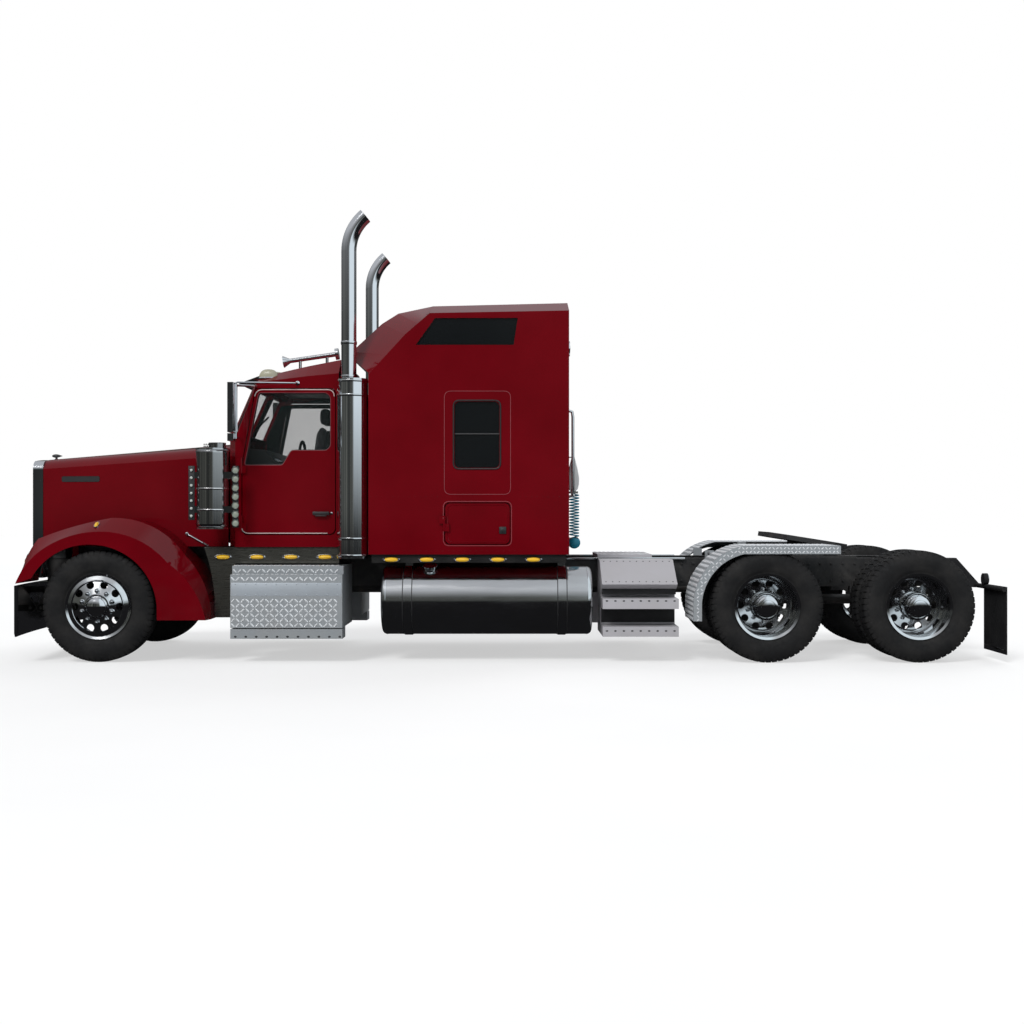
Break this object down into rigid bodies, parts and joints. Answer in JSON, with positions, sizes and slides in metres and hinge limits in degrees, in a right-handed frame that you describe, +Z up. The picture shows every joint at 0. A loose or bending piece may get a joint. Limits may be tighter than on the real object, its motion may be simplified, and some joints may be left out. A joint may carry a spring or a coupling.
{
  "type": "semi truck tractor unit",
  "caption": "Long-nose highway tractor unit with a tall sleeper, tilting hood, tandem drive axles on dual wheels, upright exhaust stacks and a tilting coupling plate.",
  "frame": {"origin": "on the ground, under the middle of the truck's length and width", "axes": "+X towards the rear, -Y the driver's side, +Z up"},
  "size_m": [9.02, 2.61, 4.1099],
  "materials": {
    "crimson_paint": "deep gloss clear-coated crimson",
    "chrome": "polished mirror plate",
    "polished_aluminium": "polished",
    "stainless": "bright stainless",
    "frame_paint": "satin black",
    "iron": "greased black iron",
    "engine_paint": "satin grey",
    "tyre_rubber": "matt black",
    "flap_rubber": "matt black",
    "glass_tint": "dark tint",
    "interior_trim": "dark trim",
    "amber": "clear amber",
    "air_line_blue": "blue nylon"
  },
  "bodies": {
    "chassis": {"air_cleaners": "stainless", "air_couplers": "chrome", "air_line": "air_line_blue", "bumper": "chrome", "cab_interior": "interior_trim", "cab_shell": "crimson_paint", "crossmembers": "frame_paint", "deck_plate": "polished_aluminium", "engine": "engine_paint", "exhausts": "chrome", "fifth_wheel_base": "iron", "fixed_glass": "glass_tint", "frame_rails": "frame_paint", "front_axle": "iron", "fuel_tanks": "polished_aluminium", "marker_lamps": "amber", "mirrors": "chrome", "mud_flaps": "flap_rubber", "quarter_fenders": "polished_aluminium", "rear_axles": "iron", "rear_suspension": "iron", "roof_fittings": "chrome", "side_skirts": "stainless", "sleeper_boot": "flap_rubber", "sleeper_shell": "crimson_paint", "step_boxes": "polished_aluminium"},
    "hood": {"hood_shell": "crimson_paint", "grille": "chrome", "front_fenders": "crimson_paint", "headlamps": "chrome"},
    "cab_door_left": {"cab_door_left": "crimson_paint", "door_glass_left": "glass_tint"},
    "cab_door_right": {"cab_door_right": "crimson_paint", "door_glass_right": "glass_tint"},
    "luggage_door_left": {"luggage_door_left": "crimson_paint"},
    "luggage_door_right": {"luggage_door_right": "crimson_paint"},
    "fifth_wheel": {"fifth_wheel_plate": "iron"},
    "knuckle_left": {"knuckle_left": "iron"},
    "knuckle_right": {"knuckle_right": "iron"},
    "front_wheel_left": {"front_wheel_left": "polished_aluminium", "front_tyre_left": "tyre_rubber"},
    "front_wheel_right": {"front_wheel_right": "polished_aluminium", "front_tyre_right": "tyre_rubber"},
    "rear_wheels_1_left": {"rear_wheels_1_left": "polished_aluminium", "rear_tyres_1_left": "tyre_rubber"},
    "rear_wheels_1_right": {"rear_wheels_1_right": "polished_aluminium", "rear_tyres_1_right": "tyre_rubber"},
    "rear_wheels_2_left": {"rear_wheels_2_left": "polished_aluminium", "rear_tyres_2_left": "tyre_rubber"},
    "rear_wheels_2_right": {"rear_wheels_2_right": "polished_aluminium", "rear_tyres_2_right": "tyre_rubber"}
  },
  "joints": [
    {"name": "hood_tilt", "type": "hinge", "parent": "chassis", "child": "hood", "pos_m": [-4.44, 0, 0.45], "axis": [0, -1, 0], "range_deg": [0, 80]},
    {"name": "fifth_wheel_tilt", "type": "hinge", "parent": "chassis", "child": "fifth_wheel", "pos_m": [2.892, 0, 1.012], "axis": [0, -1, 0], "range_deg": [0, 22]},
    {"name": "cab_door_left_hinge", "type": "hinge", "parent": "chassis", "child": "cab_door_left", "pos_m": [-2.433, -0.978, 1.8265], "axis": [0, 0, -1], "range_deg": [0, 70]},
    {"name": "luggage_door_left_hinge", "type": "hinge", "parent": "chassis", "child": "luggage_door_left", "pos_m": [-0.56, -1.213, 1.2585], "axis": [0, 0, -1], "range_deg": [0, 110]},
    {"name": "steer_left", "type": "hinge", "parent": "chassis", "child": "knuckle_left", "pos_m": [-3.698, -0.93, 0.508], "axis": [0, 0, 1], "range_deg": [-38, 38]},
    {"name": "front_wheel_left_spin", "type": "hinge", "parent": "knuckle_left", "child": "front_wheel_left", "pos_m": [-3.698, -1.022, 0.508], "axis": [0, 1, 0], "continuous": true},
    {"name": "rear_wheels_1_left_spin", "type": "hinge", "parent": "chassis", "child": "rear_wheels_1_left", "pos_m": [2.356, -0.91, 0.508], "axis": [0, 1, 0], "continuous": true},
    {"name": "rear_wheels_2_left_spin", "type": "hinge", "parent": "chassis", "child": "rear_wheels_2_left", "pos_m": [3.728, -0.91, 0.508], "axis": [0, 1, 0], "continuous": true},
    {"name": "cab_door_right_hinge", "type": "hinge", "parent": "chassis", "child": "cab_door_right", "pos_m": [-2.433, 0.978, 1.8265], "axis": [0, 0, 1], "range_deg": [0, 70]},
    {"name": "luggage_door_right_hinge", "type": "hinge", "parent": "chassis", "child": "luggage_door_right", "pos_m": [-0.56, 1.213, 1.2585], "axis": [0, 0, 1], "range_deg": [0, 110]},
    {"name": "steer_right", "type": "hinge", "parent": "chassis", "child": "knuckle_right", "pos_m": [-3.698, 0.93, 0.508], "axis": [0, 0, 1], "range_deg": [-38, 38]},
    {"name": "front_wheel_right_spin", "type": "hinge", "parent": "knuckle_right", "child": "front_wheel_right", "pos_m": [-3.698, 1.022, 0.508], "axis": [0, 1, 0], "continuous": true},
    {"name": "rear_wheels_1_right_spin", "type": "hinge", "parent": "chassis", "child": "rear_wheels_1_right", "pos_m": [2.356, 0.91, 0.508], "axis": [0, 1, 0], "continuous": true},
    {"name": "rear_wheels_2_right_spin", "type": "hinge", "parent": "chassis", "child": "rear_wheels_2_right", "pos_m": [3.728, 0.91, 0.508], "axis": [0, 1, 0], "continuous": true}
  ],
  "couplings": [
    {"joint": "steer_right", "follows": "steer_left", "ratio": 1}
  ]
}
